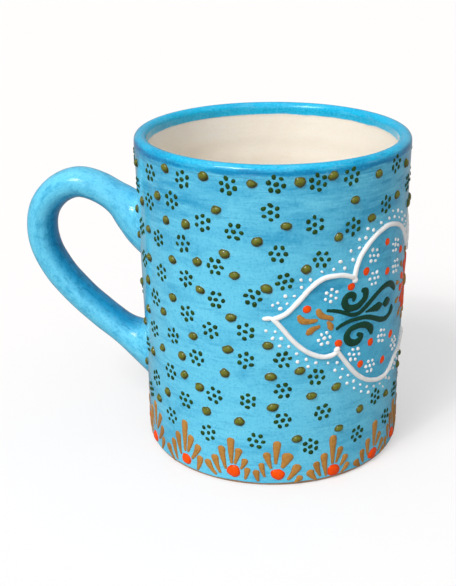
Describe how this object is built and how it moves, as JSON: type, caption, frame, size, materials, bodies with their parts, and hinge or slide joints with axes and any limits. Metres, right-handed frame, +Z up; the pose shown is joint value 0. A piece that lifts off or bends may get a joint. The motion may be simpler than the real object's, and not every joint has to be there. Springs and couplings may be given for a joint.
{
  "type": "mug",
  "caption": "Straight-sided pottery mug with a round ear handle, turquoise glaze, raised slip dots, a trailed medallion opposite the handle and a petal border at its foot.",
  "frame": {"origin": "middle of the standing plane, on the cup's axis", "axes": "+Z up along the cup's axis, -X towards the handle, +X through the middle of the medallion"},
  "size_m": [0.1235, 0.0856, 0.1],
  "materials": {
    "bare_clay": "bare fired clay, fine and matte",
    "handle_clay": "bare fired clay under the glaze",
    "joining_slip": "fired joining slip",
    "turquoise_glaze": "glossy, brushed in level streaks",
    "rim_glaze": "glossy, a second darker coat",
    "handle_glaze": "glossy, brushed along the handle",
    "cream_glaze": "glossy clear glaze over cream slip",
    "blue_wash": "glossy, a thin second wash",
    "white_slip": "glossy raised slip",
    "red_slip": "glossy raised slip",
    "green_slip": "glossy raised slip",
    "dark_green_slip": "glossy raised slip",
    "olive_slip": "glossy thick slip domes",
    "ochre_slip": "satin raised slip"
  },
  "bodies": {
    "root": {"clay_body": "bare_clay", "handle": "handle_clay", "handle_slip": "joining_slip", "wall_glaze": "turquoise_glaze", "rim_glaze": "rim_glaze", "handle_glaze": "handle_glaze", "inner_glaze": "cream_glaze", "medallion_wash": "blue_wash", "medallion_outline": "white_slip", "outline_beads": "white_slip", "white_rosettes": "white_slip", "red_dots": "red_slip", "green_scrolls": "green_slip", "ochre_sprigs": "ochre_slip", "flower_petals": "red_slip", "flower_heart": "ochre_slip", "olive_domes": "olive_slip", "green_rosettes": "dark_green_slip", "palmette_petals": "ochre_slip", "palmette_hearts": "red_slip"}
  },
  "joints": []
}
